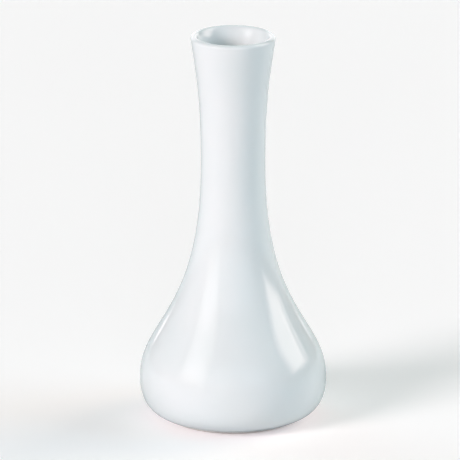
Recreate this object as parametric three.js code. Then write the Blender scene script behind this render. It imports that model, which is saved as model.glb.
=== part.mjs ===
// A white glazed porcelain bud vase: a low rounded belly, a long narrow neck and a flared mouth.
// It is one slip-cast porcelain body under a coat of clear glass glaze. The glaze runs from just above
// the bare foot ring up the outside, over the lip and down the whole inside. A second patch of glaze
// lies in the recess under the base, cut off from the first by the bare ring that the vase stands on.
// Millimetres, +Z up, origin on the table at the middle of the foot ring.
import * as THREE from "three";

// Overall sizes of the fired and glazed vase
const HEIGHT = 140;
const BELLY_RADIUS = 33.2;
const BELLY_HEIGHT = 14.5;
const WAIST_RADIUS = 11.45;
const WAIST_HEIGHT = 92.7;
const RIM_RADIUS = 15;

// How far the outline keeps its direction at each station before it turns towards the next one
const FOOT_REACH = 5;
const BELLY_LOWER_REACH = 9.7;
const BELLY_UPPER_REACH = 19.8;
const WAIST_LOWER_REACH = 55.2;
const WAIST_UPPER_REACH = 22.2;
const FLARE_REACH = 9.8;

// Mouth: a straight flare with a small round lip, inside which a soft slope runs down to the full wall
const FLARE_LEAN = THREE.MathUtils.degToRad(8.2);
const FLARE_LENGTH = 6;
const LIP_RADIUS = 1.2;
const SLOPE_LEAN = THREE.MathUtils.degToRad(38);
const SLOPE_UPPER_REACH = 1.5;
const SLOPE_LOWER_REACH = 2;

// Thickness of the glazed wall, of the base above its recess, and of the glaze alone
const WALL = 3.2;
const FLOOR = 3.4;
const FLOOR_BLEND = 2;
const GLAZE = 0.25;

// Foot: a bare bearing ring round a shallow glazed recess
const FOOT_RADIUS = 23.6;
const FOOT_HEIGHT = 0.7;
const FOOT_CORNER = 0.3;
const FOOT_LEAN = THREE.MathUtils.degToRad(11.7);
const FOOT_RING_WIDTH = 2.6;
const RECESS_DEPTH = 1.6;
const RECESS_SLOPE_WIDTH = 2.2;
const RECESS_BARE_HEIGHT = 0.5;

// How finely each stretch is divided
const SEGMENTS = 36;
const BELLY_STEPS = 5;
const SHOULDER_STEPS = 8;
const NECK_STEPS = 5;
const LIP_OUTER_STEPS = 3;
const LIP_INNER_STEPS = 2;
const SLOPE_STEPS = 4;
const RECESS_STEPS = 3;
const FLOOR_STEPS = 2;

const point = (radius, height) => new THREE.Vector2(radius, height);
const heading = (angle) => point(Math.cos(angle), Math.sin(angle));
const step = (from, direction, length) => from.clone().addScaledVector(direction, length);

// The lip's round, with the angles of its start, crest and end measured from straight outwards
const lipCentre = point(RIM_RADIUS - LIP_RADIUS, HEIGHT - LIP_RADIUS);
const lipStart = -FLARE_LEAN;
const lipCrest = Math.PI / 2;
const lipEnd = Math.PI - SLOPE_LEAN;

// The collar is where the neck passes into the straight flare.
const flareHeading = heading(Math.PI / 2 - FLARE_LEAN);
const collar = step(step(lipCentre, heading(lipStart), LIP_RADIUS), flareHeading, -FLARE_LENGTH);

// The outline of the glazed surface outside, from the foot to the collar.
const foot = point(FOOT_RADIUS, FOOT_HEIGHT);
const belly = point(BELLY_RADIUS, BELLY_HEIGHT);
const waist = point(WAIST_RADIUS, WAIST_HEIGHT);
const up = heading(Math.PI / 2);
const bellyCurve = new THREE.CubicBezierCurve(
  foot,
  step(foot, heading(FOOT_LEAN), FOOT_REACH),
  step(belly, up, -BELLY_LOWER_REACH),
  belly,
);
const shoulderCurve = new THREE.CubicBezierCurve(
  belly,
  step(belly, up, BELLY_UPPER_REACH),
  step(waist, up, -WAIST_LOWER_REACH),
  waist,
);
const neckCurve = new THREE.CubicBezierCurve(
  waist,
  step(waist, up, WAIST_UPPER_REACH),
  step(collar, flareHeading, -FLARE_REACH),
  collar,
);

// The slope inside the mouth, from the lip down to the wall at the collar.
const slopeStart = step(lipCentre, heading(lipEnd), LIP_RADIUS);
const slopeFoot = step(collar, heading(lipStart), -WALL);
const slopeCurve = new THREE.CubicBezierCurve(
  slopeStart,
  step(slopeStart, heading(lipEnd + Math.PI / 2), SLOPE_UPPER_REACH),
  step(slopeFoot, flareHeading, SLOPE_LOWER_REACH),
  slopeFoot,
);

// Points along a curve, each with the surface's normal there.
function stations(curve, steps, first, last) {
  const found = [];
  for (let i = first; i <= last; i++) {
    const along = curve.getTangent(i / steps);
    found.push({ at: curve.getPoint(i / steps), normal: point(along.y, -along.x) });
  }
  return found;
}

const outer = [
  ...stations(bellyCurve, BELLY_STEPS, 0, BELLY_STEPS),
  ...stations(shoulderCurve, SHOULDER_STEPS, 1, SHOULDER_STEPS),
  ...stations(neckCurve, NECK_STEPS, 1, NECK_STEPS),
];
const slope = stations(slopeCurve, SLOPE_STEPS, 1, SLOPE_STEPS - 1);
const insideFloor = RECESS_DEPTH + FLOOR;

// The round of the lip at a depth below the glazed surface, from the outside over the crest to the inside.
function lip(depth) {
  const angles = [];
  for (let i = 0; i < LIP_OUTER_STEPS; i++) {
    angles.push(lipStart + ((lipCrest - lipStart) * i) / LIP_OUTER_STEPS);
  }
  for (let i = 0; i <= LIP_INNER_STEPS; i++) {
    angles.push(lipCrest + ((lipEnd - lipCrest) * i) / LIP_INNER_STEPS);
  }
  return angles.map((angle) => step(lipCentre, heading(angle), LIP_RADIUS - depth));
}

// The inside below the collar at a depth below the glazed surface, down to the axis. It runs
// parallel to the outside and blends into the floor.
function inside(depth) {
  const floor = insideFloor - depth;
  const points = outer.map(({ at, normal }) => {
    const wall = step(at, normal, depth - WALL);
    const above = wall.y - floor;
    return point(wall.x, floor + (above + Math.hypot(above, FLOOR_BLEND)) / 2);
  });
  const edge = points[0];
  for (let i = FLOOR_STEPS - 1; i >= 0; i--) {
    const share = i / FLOOR_STEPS;
    points.unshift(point(edge.x * share, floor + (edge.y - floor) * share * share));
  }
  return points.reverse();
}

// All of the glazed surface at a depth below it, from the foot over the lip to the axis.
function glazed(depth) {
  const below = ({ at, normal }) => step(at, normal, -depth);
  return [...outer.map(below), ...lip(depth), ...slope.map(below), ...inside(depth)];
}

// The rounded side of the recess at a depth below its glazed or bare surface, as a quarter ellipse
// from the ceiling down to a height above the table.
const recessEdge = FOOT_RADIUS - FOOT_RING_WIDTH;
function recess(depth, downTo) {
  const width = RECESS_SLOPE_WIDTH - depth;
  const rise = RECESS_DEPTH - depth;
  const turn = Math.acos(downTo / rise);
  const points = [point(0, rise)];
  for (let i = 0; i <= RECESS_STEPS; i++) {
    const angle = (turn * i) / RECESS_STEPS;
    points.push(point(recessEdge - RECESS_SLOPE_WIDTH + width * Math.sin(angle), rise * Math.cos(angle)));
  }
  return points;
}

// A closed profile turned about the vertical axis.
function turned(profile) {
  return new THREE.LatheGeometry(profile, SEGMENTS).rotateX(Math.PI / 2);
}

// The porcelain: recess, bearing ring, foot wall, outside, lip and inside.
function porcelainBody() {
  return turned([
    ...recess(0, RECESS_BARE_HEIGHT),
    point(recessEdge, FOOT_CORNER),
    point(recessEdge + FOOT_CORNER, 0),
    point(FOOT_RADIUS - FOOT_CORNER, 0),
    point(FOOT_RADIUS, FOOT_CORNER),
    ...glazed(GLAZE),
  ]);
}

// The coat over the outside, the lip and the inside.
function glazeCoat() {
  return turned([...glazed(GLAZE).reverse(), ...glazed(0)]);
}

// The patch of glaze in the recess under the base.
function recessGlaze() {
  return turned([...recess(GLAZE, RECESS_BARE_HEIGHT), ...recess(0, RECESS_BARE_HEIGHT).reverse()]);
}

const porcelain = new THREE.MeshStandardMaterial({ color: 0xe9e7e2, roughness: 0.75, metalness: 0 });
const glaze = new THREE.MeshStandardMaterial({ color: 0xf1f4f5, roughness: 0.06, metalness: 0 });

function part(name, geometry, material) {
  const mesh = new THREE.Mesh(geometry, material);
  mesh.name = name;
  return mesh;
}

const vase = new THREE.Group();
vase.add(
  part("porcelain_body", porcelainBody(), porcelain),
  part("glaze_coat", glazeCoat(), glaze),
  part("foot_recess_glaze", recessGlaze(), glaze),
);
export default vase;
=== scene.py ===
"""A white glazed porcelain bud vase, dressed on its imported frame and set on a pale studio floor."""

import math

import bmesh
import bpy
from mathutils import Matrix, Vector


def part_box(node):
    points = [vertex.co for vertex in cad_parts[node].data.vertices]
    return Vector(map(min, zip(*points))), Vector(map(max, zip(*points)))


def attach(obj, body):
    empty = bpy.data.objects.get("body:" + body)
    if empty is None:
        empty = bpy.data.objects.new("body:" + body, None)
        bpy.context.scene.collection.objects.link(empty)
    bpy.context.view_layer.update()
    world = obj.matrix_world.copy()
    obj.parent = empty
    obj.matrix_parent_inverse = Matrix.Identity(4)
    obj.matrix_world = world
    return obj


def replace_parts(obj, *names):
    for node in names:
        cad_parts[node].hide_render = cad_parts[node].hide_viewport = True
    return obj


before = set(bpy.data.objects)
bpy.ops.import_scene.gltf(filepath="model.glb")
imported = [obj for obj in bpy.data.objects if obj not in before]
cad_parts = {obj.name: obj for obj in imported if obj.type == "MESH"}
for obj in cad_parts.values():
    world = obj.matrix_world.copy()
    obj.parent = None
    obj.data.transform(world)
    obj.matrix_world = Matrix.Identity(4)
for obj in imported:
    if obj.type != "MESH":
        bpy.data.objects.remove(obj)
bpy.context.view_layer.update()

MM = 0.001

# The vase's main sizes, in metres. Height and belly come from the frame.
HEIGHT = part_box("glaze_coat")[1].z
BELLY_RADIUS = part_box("glaze_coat")[1].x
BELLY_HEIGHT = 14.5 * MM
WAIST_RADIUS = 11.45 * MM
WAIST_HEIGHT = 92.7 * MM
RIM_RADIUS = 15 * MM

# How far the outline keeps its direction at each station before it turns towards the next one
FOOT_REACH = 5 * MM
BELLY_LOWER_REACH = 9.7 * MM
BELLY_UPPER_REACH = 19.8 * MM
WAIST_LOWER_REACH = 55.2 * MM
WAIST_UPPER_REACH = 22.2 * MM
FLARE_REACH = 9.8 * MM

# Mouth: a straight flare with a small round lip, inside which a soft slope runs down to the full wall
FLARE_LEAN = math.radians(8.2)
FLARE_LENGTH = 6 * MM
LIP_RADIUS = 1.2 * MM
SLOPE_LEAN = math.radians(38)
SLOPE_UPPER_REACH = 1.5 * MM
SLOPE_LOWER_REACH = 2 * MM

# Thickness of the glazed wall, of the base above its recess, and of the glaze alone
WALL = 3.2 * MM
FLOOR = 3.4 * MM
FLOOR_BLEND = 2 * MM
GLAZE = 0.25 * MM

# Foot: a bare bearing ring round a shallow glazed recess
FOOT_RADIUS = 23.6 * MM
FOOT_HEIGHT = 0.7 * MM
FOOT_CORNER = 0.3 * MM
FOOT_LEAN = math.radians(11.7)
FOOT_RING_WIDTH = 2.6 * MM
RECESS_DEPTH = 1.6 * MM
RECESS_SLOPE_WIDTH = 2.2 * MM
RECESS_BARE_HEIGHT = 0.5 * MM

# Below this height the glaze colour is painted darker and cooler, as painted shade towards the foot.
FOOT_SHADE_HEIGHT = 5 * MM

# How far the lights stand from the vase. Two lights in one place would hide each other in the gloss.
LIGHT_DISTANCE = 1.2
LIGHT_SPACING = 0.02

# The floor's own light and the colour beyond it, both for the camera alone
FLOOR_GLOW = 0.34
FLOOR_GLOW_COLOUR = (1, 0.85, 0.84)
BACKGROUND = (0.92, 0.92, 0.92)

# A radius below this lies on the axis, and an edge that bends more than this stays sharp.
ON_AXIS = 1e-9
SHARP_EDGE = math.radians(50)

# How finely each stretch is divided
SEGMENTS = 160
BELLY_STEPS = 24
SHOULDER_STEPS = 40
NECK_STEPS = 24
LIP_STEPS = 8
SLOPE_STEPS = 14
RECESS_STEPS = 12
FLOOR_STEPS = 8


def heading(angle):
    """The direction at an angle above the horizontal, as radius and height."""
    return Vector((math.cos(angle), math.sin(angle)))


def stations(start, leave, end, arrive, steps):
    """
    Points after the start of a cubic curve, each with the surface's normal there. The curve leaves its start
    along one reach and arrives at its end along another.
    """
    out = start + leave
    back = end - arrive
    found = []
    for i in range(1, steps + 1):
        t = i / steps
        s = 1 - t
        at = start * s**3 + out * 3 * s * s * t + back * 3 * s * t * t + end * t**3
        along = ((out - start) * s * s + (back - out) * 2 * s * t + (end - back) * t * t).normalized()
        found.append((at, Vector((along.y, -along.x))))
    return found


# The lip's round, with the angles of its start, crest and end measured from straight outwards
LIP_CENTRE = Vector((RIM_RADIUS - LIP_RADIUS, HEIGHT - LIP_RADIUS))
LIP_START = -FLARE_LEAN
LIP_CREST = math.pi / 2
LIP_END = math.pi - SLOPE_LEAN

# The collar is where the neck passes into the straight flare.
FLARE_HEADING = heading(math.pi / 2 - FLARE_LEAN)
COLLAR = LIP_CENTRE + heading(LIP_START) * LIP_RADIUS - FLARE_HEADING * FLARE_LENGTH


def outer_stations():
    """The outer glazed surface from the foot to the collar."""
    up = Vector((0, 1))
    foot = Vector((FOOT_RADIUS, FOOT_HEIGHT))
    belly = Vector((BELLY_RADIUS, BELLY_HEIGHT))
    waist = Vector((WAIST_RADIUS, WAIST_HEIGHT))
    return [
        (foot, heading(FOOT_LEAN - math.pi / 2)),
        *stations(foot, heading(FOOT_LEAN) * FOOT_REACH, belly, up * BELLY_LOWER_REACH, BELLY_STEPS),
        *stations(belly, up * BELLY_UPPER_REACH, waist, up * WAIST_LOWER_REACH, SHOULDER_STEPS),
        *stations(waist, up * WAIST_UPPER_REACH, COLLAR, FLARE_HEADING * FLARE_REACH, NECK_STEPS),
    ]


def slope_stations():
    """The slope inside the mouth, between the lip and the wall at the collar."""
    start = LIP_CENTRE + heading(LIP_END) * LIP_RADIUS
    foot = COLLAR - heading(LIP_START) * WALL
    leave = heading(LIP_END + math.pi / 2) * SLOPE_UPPER_REACH
    arrive = -FLARE_HEADING * SLOPE_LOWER_REACH
    return stations(start, leave, foot, arrive, SLOPE_STEPS)[:-1]


OUTER = outer_stations()
SLOPE = slope_stations()


def lip(depth):
    """The lip's round at a depth below the glazed surface, from the outside over the crest inwards."""
    outer_half = [LIP_START + (LIP_CREST - LIP_START) * i / LIP_STEPS for i in range(LIP_STEPS)]
    inner_half = [LIP_CREST + (LIP_END - LIP_CREST) * i / LIP_STEPS for i in range(LIP_STEPS + 1)]
    return [LIP_CENTRE + heading(angle) * (LIP_RADIUS - depth) for angle in outer_half + inner_half]


def inside(depth):
    """The inside below the collar at a depth below the glazed surface, down to the axis."""
    floor = RECESS_DEPTH + FLOOR - depth
    points = []
    for at, normal in OUTER:
        wall = at + normal * (depth - WALL)
        above = wall.y - floor
        points.append(Vector((wall.x, floor + (above + math.hypot(above, FLOOR_BLEND)) / 2)))
    edge = points[0]
    disc = []
    for i in range(FLOOR_STEPS):
        share = i / FLOOR_STEPS
        disc.append(Vector((edge.x * share, floor + (edge.y - floor) * share * share)))
    return (disc + points)[::-1]


def glazed(depth):
    """All of the glazed surface at a depth below it, from the foot over the lip to the axis."""
    outer = [at - normal * depth for at, normal in OUTER]
    slope = [at - normal * depth for at, normal in SLOPE]
    return outer + lip(depth) + slope + inside(depth)


def recess(depth):
    """The side of the recess under the base at a depth below its surface, from the axis outwards."""
    width = RECESS_SLOPE_WIDTH - depth
    rise = RECESS_DEPTH - depth
    turn = math.acos(RECESS_BARE_HEIGHT / rise)
    start = FOOT_RADIUS - FOOT_RING_WIDTH - RECESS_SLOPE_WIDTH
    points = [Vector((0, rise))]
    for i in range(RECESS_STEPS + 1):
        angle = turn * i / RECESS_STEPS
        points.append(Vector((start + width * math.sin(angle), rise * math.cos(angle))))
    return points


def turned(name, profile, material):
    """A smooth piece turned about the vertical axis from a profile that starts and ends on the axis."""
    work = bmesh.new()
    rings = []
    for at in profile:
        count = 1 if at.x < ON_AXIS else SEGMENTS
        turn = [2 * math.pi * i / SEGMENTS for i in range(count)]
        rings.append([work.verts.new((at.x * math.cos(a), at.x * math.sin(a), at.y)) for a in turn])
    for low, high in zip(rings, rings[1:]):
        for i in range(SEGMENTS):
            j = (i + 1) % SEGMENTS
            corners = [low[i % len(low)], low[j % len(low)], high[j % len(high)], high[i % len(high)]]
            work.faces.new(list(dict.fromkeys(corners)))
    bmesh.ops.recalc_face_normals(work, faces=work.faces)
    mesh = bpy.data.meshes.new(name)
    work.to_mesh(mesh)
    work.free()
    mesh.shade_smooth()
    mesh.set_sharp_from_angle(angle=SHARP_EDGE)
    mesh.materials.append(material)
    piece = bpy.data.objects.new(name, mesh)
    bpy.context.scene.collection.objects.link(piece)
    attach(piece, "root")
    return piece


def add(tree, kind, **settings):
    """A new node with its settings. Each sets the input of that name, or else the property."""
    node = tree.nodes.new(kind)
    for key, value in settings.items():
        name = key.replace("_", " ").title()
        if name in node.inputs:
            node.inputs[name].default_value = value
        else:
            setattr(node, key, value)
    return node


def noise(tree, place, size, detail):
    """Noise whose patches are about one size across, in metres."""
    node = add(tree, "ShaderNodeTexNoise", scale=1 / size, detail=detail)
    tree.links.new(place, node.inputs["Vector"])
    return node.outputs["Fac"]


def spread(tree, value, before, after):
    """A value's range, its ends given as before, stretched or shrunk to the range after."""
    low, high = before
    new_low, new_high = after
    node = add(tree, "ShaderNodeMapRange", from_min=low, from_max=high, to_min=new_low, to_max=new_high)
    tree.links.new(value, node.inputs["Value"])
    return node.outputs["Result"]


def blend(tree, share, first, second):
    """A mix of two colours, each a constant or a node's output."""
    node = tree.nodes.new("ShaderNodeMix")
    node.data_type = "RGBA"
    tree.links.new(share, node.inputs["Factor"])
    for socket, colour in zip(("A", "B"), (first, second)):
        entry = next(i for i in node.inputs if i.name == socket and i.type == "RGBA")
        if isinstance(colour, tuple):
            entry.default_value = (*colour, 1)
        else:
            tree.links.new(colour, entry)
    return next(o for o in node.outputs if o.type == "RGBA")


def bump(tree, height, distance, below=None):
    """Relief of a real depth in metres, over another relief."""
    node = add(tree, "ShaderNodeBump", strength=1.0, distance=distance)
    tree.links.new(height, node.inputs["Height"])
    if below:
        tree.links.new(below, node.inputs["Normal"])
    return node.outputs["Normal"]


def seen_by_camera(tree):
    """One for what the camera sees directly, zero for what lights or is mirrored in something else."""
    return tree.nodes.new("ShaderNodeLightPath").outputs["Is Camera Ray"]


def new_material(name):
    """A material with its tree, its shader and the piece's own coordinates."""
    material = bpy.data.materials.new(name)
    material.use_nodes = True
    tree = material.node_tree
    place = tree.nodes.new("ShaderNodeTexCoord").outputs["Object"]
    return material, tree, tree.nodes["Principled BSDF"], place


def glaze_material():
    """Clear gloss glaze over white porcelain: faintly cool, with painted shade that darkens and cools it
    towards the foot.
    """
    material, tree, shader, place = new_material("clear_glaze")
    heights = tree.nodes.new("ShaderNodeSeparateXYZ")
    tree.links.new(place, heights.inputs["Vector"])
    clouds = spread(tree, noise(tree, place, size=22 * MM, detail=2), (0.35, 0.65), (0, 1))
    white = blend(tree, clouds, (0.79, 0.835, 0.84), (0.81, 0.845, 0.85))
    # Painted shade: the base colour turns darker and cooler below the shade height, towards the foot.
    foot_shade = spread(tree, heights.outputs["Z"], (FOOT_HEIGHT, FOOT_SHADE_HEIGHT), (0.6, 0))
    tree.links.new(blend(tree, foot_shade, white, (0.7, 0.78, 0.8)), shader.inputs["Base Color"])
    gloss = spread(tree, noise(tree, place, size=6 * MM, detail=3), (0.3, 0.7), (0.02, 0.04))
    tree.links.new(gloss, shader.inputs["Roughness"])
    swell = bump(tree, noise(tree, place, size=12 * MM, detail=1), 0.09 * MM)
    peel = bump(tree, noise(tree, place, size=1.6 * MM, detail=2), 0.0012 * MM, swell)
    tree.links.new(peel, shader.inputs["Normal"])
    shader.inputs["IOR"].default_value = 1.52
    shader.inputs["Coat Weight"].default_value = 0.25
    shader.inputs["Coat Roughness"].default_value = 0.02
    return material


def porcelain_material():
    """Bare fired porcelain: matt, fine-grained and a little warmer, with grey rub marks where it bears."""
    material, tree, shader, place = new_material("bare_porcelain")
    rub = spread(tree, noise(tree, place, size=2.5 * MM, detail=5), (0.5, 0.75), (0, 0.5))
    tree.links.new(blend(tree, rub, (0.83, 0.815, 0.78), (0.62, 0.6, 0.56)), shader.inputs["Base Color"])
    rough = spread(tree, noise(tree, place, size=0.8 * MM, detail=4), (0.3, 0.7), (0.62, 0.85))
    tree.links.new(rough, shader.inputs["Roughness"])
    grain = bump(tree, noise(tree, place, size=0.12 * MM, detail=4), 0.02 * MM)
    tree.links.new(grain, shader.inputs["Normal"])
    return material


def floor_material():
    """A smooth pale studio floor. It glows a little for the camera alone, so it looks nearly white."""
    material, tree, shader, place = new_material("pale_floor")
    mottle = spread(tree, noise(tree, place, size=400 * MM, detail=2), (0.3, 0.7), (0, 1))
    tree.links.new(blend(tree, mottle, (0.79, 0.79, 0.79), (0.81, 0.81, 0.81)), shader.inputs["Base Color"])
    glow = spread(tree, seen_by_camera(tree), (0, 1), (0, FLOOR_GLOW))
    tree.links.new(glow, shader.inputs["Emission Strength"])
    shader.inputs["Emission Color"].default_value = (*FLOOR_GLOW_COLOUR, 1)
    shader.inputs["Specular IOR Level"].default_value = 0
    shader.inputs["Roughness"].default_value = 0.6
    return material


def build_vase():
    """The porcelain, the coat over it and the patch of glaze under the base."""
    glaze = glaze_material()
    bare = [
        *recess(0),
        Vector((FOOT_RADIUS - FOOT_RING_WIDTH, FOOT_CORNER)),
        Vector((FOOT_RADIUS - FOOT_RING_WIDTH + FOOT_CORNER, 0)),
        Vector((FOOT_RADIUS - FOOT_CORNER, 0)),
        Vector((FOOT_RADIUS, FOOT_CORNER)),
        *glazed(GLAZE),
    ]
    coat = glazed(GLAZE)[::-1] + glazed(0)
    patch = [*recess(GLAZE), *recess(0)[::-1]]
    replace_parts(turned("porcelain", bare, porcelain_material()), "porcelain_body")
    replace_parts(turned("glaze", coat, glaze), "glaze_coat")
    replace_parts(turned("recess_glaze", patch, glaze), "foot_recess_glaze")


def build_floor():
    """A wide floor that reaches past every view."""
    reach = 20
    corners = [(-reach, -reach, 0), (reach, -reach, 0), (reach, reach, 0), (-reach, reach, 0)]
    mesh = bpy.data.meshes.new("floor")
    mesh.from_pydata(corners, [], [(0, 1, 2, 3)])
    mesh.materials.append(floor_material())
    floor = bpy.data.objects.new("floor", mesh)
    bpy.context.scene.collection.objects.link(floor)


def fade_edges(data, edge):
    """Dims a light's face towards its sides, over a share of its width and height."""
    middle = 0.5
    data.use_nodes = True
    tree = data.node_tree
    emission = next(node for node in tree.nodes if node.type == "EMISSION")
    split = tree.nodes.new("ShaderNodeSeparateXYZ")
    tree.links.new(tree.nodes.new("ShaderNodeTexCoord").outputs["UV"], split.inputs["Vector"])
    both = add(tree, "ShaderNodeMath", operation="MULTIPLY")
    for i, axis in enumerate(("X", "Y")):
        away = add(tree, "ShaderNodeMath", operation="SUBTRACT")
        tree.links.new(split.outputs[axis], away.inputs[0])
        away.inputs[1].default_value = middle
        size = add(tree, "ShaderNodeMath", operation="ABSOLUTE")
        tree.links.new(away.outputs[0], size.inputs[0])
        fade = add(tree, "ShaderNodeMapRange", from_min=middle, from_max=middle - edge)
        fade.interpolation_type = "SMOOTHSTEP"
        tree.links.new(size.outputs[0], fade.inputs["Value"])
        tree.links.new(fade.outputs["Result"], both.inputs[i])
    tree.links.new(both.outputs[0], emission.inputs["Strength"])


def hang(name, data, azimuth, rise, distance):
    """
    A light that faces the middle of the vase from a distance. Its azimuth, to the right of the way to the
    camera, and its rise are in degrees.
    """
    azimuth, rise = math.radians(azimuth), math.radians(rise)
    away = Vector((math.sin(azimuth) * math.cos(rise), -math.cos(azimuth) * math.cos(rise), math.sin(rise)))
    light = bpy.data.objects.new(name, data)
    light.location = Vector((0, 0, HEIGHT / 2)) + away * distance
    light.rotation_mode = "QUATERNION"
    light.rotation_quaternion = (-away).to_track_quat("-Z", "Y")
    light.visible_camera = False
    bpy.context.scene.collection.objects.link(light)
    return light


def flood(name, azimuth, rise, width, power):
    """A far, round light, its width in degrees. It lights only the matt part of what it falls on."""
    data = bpy.data.lights.new(name, "SUN")
    data.angle = math.radians(width)
    data.energy = max(power)
    data.color = [value / max(power) for value in power]
    hang(name, data, azimuth, rise, LIGHT_DISTANCE).visible_glossy = False


def softbox(name, azimuth, rise, width, height, radiance, edge, layer=0):
    """
    A box's lit face, its width and height in degrees as seen from the vase. It shows only in the gloss,
    and dims towards its edge. A face before another one hangs a layer nearer.
    """
    distance = LIGHT_DISTANCE - layer * LIGHT_SPACING
    data = bpy.data.lights.new(name, "AREA")
    data.shape = "RECTANGLE"
    data.size = 2 * distance * math.tan(math.radians(width / 2))
    data.size_y = 2 * distance * math.tan(math.radians(height / 2))
    data.energy = math.pi * data.size * data.size_y * max(radiance)
    data.color = [value / max(radiance) for value in radiance]
    fade_edges(data, edge)
    hang(name, data, azimuth, rise, distance).visible_diffuse = False


def build_lights():
    """A key light from the front left, a slim box at the right, and pale walls behind and in front."""
    flood("key", -53, 25, 26, (2.55, 2.27, 2.31))
    flood("side_near", 86, 25, 36, (0.69, 0.9, 1.06))
    flood("side_far", 120, 25, 36, (1.57, 1.27, 1.1))
    flood("top", 0, 88, 50, (0.01, 0.28, 0.24))
    flood("front_low", 0, 10, 20, (0.69, 0.67, 0.7))
    flood("back_left", -140, 30, 40, (0.27, 0.46, 0.53))
    softbox("key_face", -53, 25, 38, 46, (1.16, 1.1, 1.22), edge=0.45)
    softbox("key_core", -53, 25, 34, 46, (0.81, 0.81, 0.71), edge=0.03, layer=1)
    softbox("strip_face", 98, 33, 44, 54, (1.58, 1.33, 1.3), edge=0.06)
    softbox("strip_core", 96, 32, 30, 48, (2.4, 2.05, 1.9), edge=0.12, layer=1)
    softbox("back_wall", 181, 16, 76, 36, (1.5, 1.4, 1.45), edge=0.04)
    softbox("front_wall", 0, 18, 110, 40, (0.5, 0.6, 0.65), edge=0.3)


def build_room():
    """The dim room that shows in the gloss and lights nothing, pale where the camera sees it directly."""
    world = bpy.data.worlds.new("studio")
    world.use_nodes = True
    tree = world.node_tree
    colour = blend(tree, seen_by_camera(tree), (0.25, 0.2, 0.18), BACKGROUND)
    tree.links.new(colour, tree.nodes["Background"].inputs["Color"])
    world.cycles_visibility.diffuse = False
    bpy.context.scene.world = world
    bpy.context.scene.view_settings.view_transform = "Standard"


def build_camera():
    """The photograph's view: a long lens from a little above, the vase slightly right of the middle."""
    distance = 4.0
    rise = math.radians(16.4)
    aim = Vector((-1.1 * MM, 0, 68.4 * MM))
    data = bpy.data.cameras.new("camera")
    data.lens = 882.6
    camera = bpy.data.objects.new("camera", data)
    back = Vector((0, -math.cos(rise), math.sin(rise)))
    camera.location = aim + back * distance
    camera.rotation_mode = "QUATERNION"
    camera.rotation_quaternion = (-back).to_track_quat("-Z", "Y")
    bpy.context.scene.collection.objects.link(camera)
    bpy.context.scene.camera = camera


build_camera()
build_vase()
build_floor()
build_lights()
build_room()
